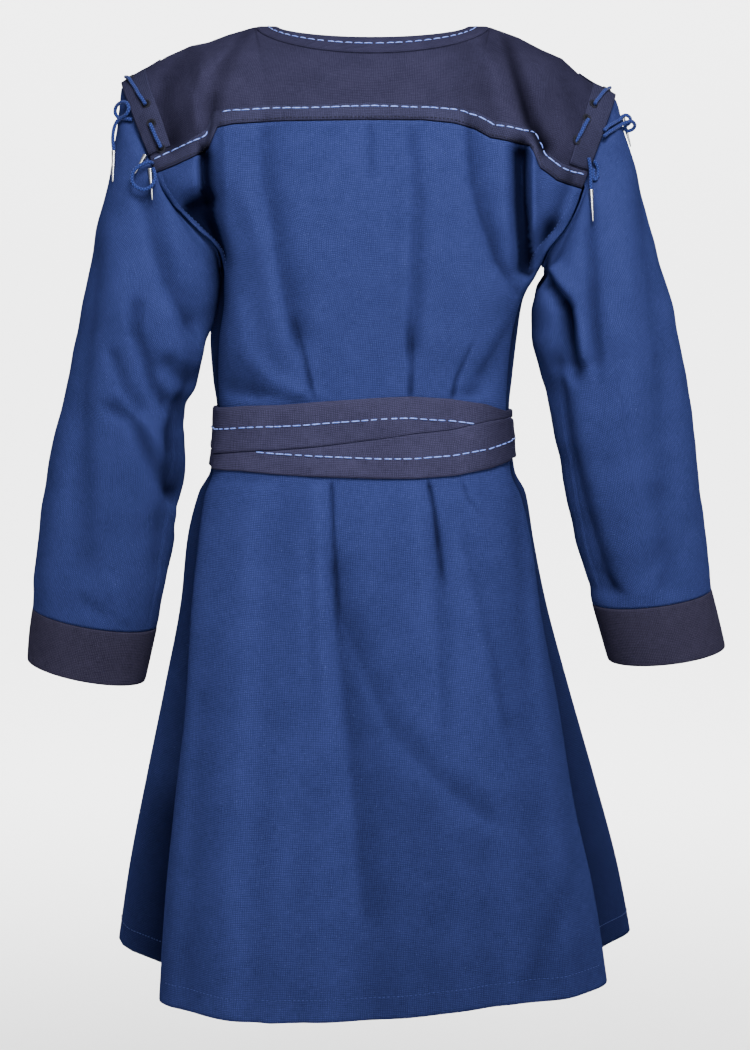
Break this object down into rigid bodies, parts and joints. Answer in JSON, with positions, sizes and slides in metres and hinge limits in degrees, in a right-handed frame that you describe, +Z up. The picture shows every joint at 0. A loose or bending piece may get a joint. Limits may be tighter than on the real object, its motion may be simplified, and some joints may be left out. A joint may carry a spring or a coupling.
{
  "type": "tunic",
  "caption": "Hollow knee-length tunic worn with a wound belt: yokes at the shoulders, laced-on sleeves with cuffs, a round open neck and a flared skirt.",
  "frame": {"origin": "the middle of the line between the two points where the neck meets the shoulders", "axes": "+Z up along the body, +Y towards the wearer's back, +X towards the wearer's left"},
  "size_m": [0.7465, 0.3691, 1.0001],
  "materials": {
    "blue_cotton": "plain-woven blue cotton, matt with a soft sheen",
    "navy_cotton": "plain-woven dark navy cotton, matt",
    "brown_navy_cotton": "plain-woven navy cotton with a brown cast, matt, sewn down flat",
    "belt_cotton": "folded dark navy cotton band, matt",
    "lace_cord": "round braided blue cord",
    "aglet_metal": "rolled silver-coloured metal, polished"
  },
  "bodies": {
    "root": {"body_back": "blue_cotton", "body_front": "blue_cotton", "sleeve_left": "blue_cotton", "sleeve_right": "blue_cotton", "yoke_back": "navy_cotton", "yoke_front": "navy_cotton", "neck_band": "navy_cotton", "cuff_left": "navy_cotton", "cuff_right": "navy_cotton", "yoke_band_back": "brown_navy_cotton", "yoke_band_front": "brown_navy_cotton", "armhole_band_left": "brown_navy_cotton", "armhole_band_right": "brown_navy_cotton", "belt_upper_turn": "belt_cotton", "belt_lower_turn": "belt_cotton", "lace_hold_left_upper": "lace_cord", "lace_hold_left_lower": "lace_cord", "lace_hold_right_upper": "lace_cord", "lace_hold_right_lower": "lace_cord", "lace_tie_left_upper": "lace_cord", "lace_tie_left_lower": "lace_cord", "lace_tie_right_upper": "lace_cord", "lace_tie_right_lower": "lace_cord", "lace_loop_right_lower": "lace_cord", "aglet_left_upper": "aglet_metal", "aglet_left_lower_a": "aglet_metal", "aglet_left_lower_b": "aglet_metal", "aglet_right_upper": "aglet_metal", "aglet_right_lower": "aglet_metal"}
  },
  "joints": []
}
